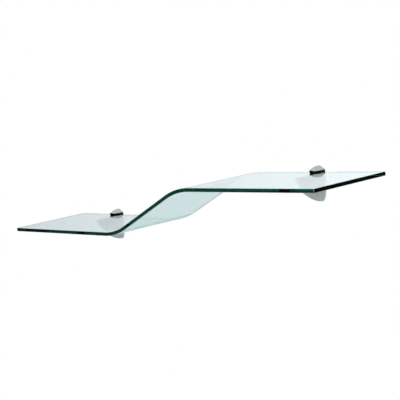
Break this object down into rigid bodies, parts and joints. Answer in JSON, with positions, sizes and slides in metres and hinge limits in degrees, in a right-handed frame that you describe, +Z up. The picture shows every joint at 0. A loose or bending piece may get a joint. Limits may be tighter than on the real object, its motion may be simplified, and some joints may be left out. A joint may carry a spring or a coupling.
{
  "type": "wall shelf with brackets",
  "caption": "Stepped wall shelf: one clear glass sheet with an S-bend, held at its back edge by a pair of beak-shaped clamp brackets with rubber pads.",
  "frame": {"origin": "on the wall plane, midway between the two wall screw holes of the left bracket", "axes": "+X along the shelf from its lower end to its upper end, +Y into the wall, +Z up"},
  "size_m": [1, 0.21, 0.1742],
  "materials": {
    "clear_glass": "clear toughened glass with polished green edges",
    "satin_metal": "satin-plated die-casting",
    "black_rubber": "matt moulded rubber",
    "zinc_steel": "bright zinc-plated steel",
    "spring_steel": "dark spring steel"
  },
  "bodies": {
    "shelf": {"glass_shelf": "clear_glass", "left_body": "satin_metal", "left_lower_pad": "black_rubber", "left_back_pad": "black_rubber", "right_body": "satin_metal", "right_lower_pad": "black_rubber", "right_back_pad": "black_rubber"},
    "left_jaw": {"left_upper_jaw": "satin_metal", "left_upper_pad": "black_rubber"},
    "left_screw": {"left_clamp_screw": "zinc_steel", "left_clamp_washer": "zinc_steel", "left_clamp_clip": "spring_steel"},
    "right_jaw": {"right_upper_jaw": "satin_metal", "right_upper_pad": "black_rubber"},
    "right_screw": {"right_clamp_screw": "zinc_steel", "right_clamp_washer": "zinc_steel", "right_clamp_clip": "spring_steel"}
  },
  "joints": [
    {"name": "left_screw_turn", "type": "hinge", "parent": "shelf", "child": "left_screw", "pos_m": [0, -0.0046, 0], "axis": [0, 0, -1], "range_deg": [0, 3600]},
    {"name": "left_jaw_slide", "type": "slide", "parent": "shelf", "child": "left_jaw", "axis": [0, 0, 1], "range_m": [0, 0.007]},
    {"name": "right_screw_turn", "type": "hinge", "parent": "shelf", "child": "right_screw", "pos_m": [0.684, -0.0046, 0.1], "axis": [0, 0, -1], "range_deg": [0, 3600]},
    {"name": "right_jaw_slide", "type": "slide", "parent": "shelf", "child": "right_jaw", "axis": [0, 0, 1], "range_m": [0, 0.007]}
  ],
  "couplings": [
    {"joint": "left_screw_turn", "follows": "left_jaw_slide", "rad_per_m": 8975.9},
    {"joint": "right_screw_turn", "follows": "right_jaw_slide", "rad_per_m": 8975.9}
  ]
}
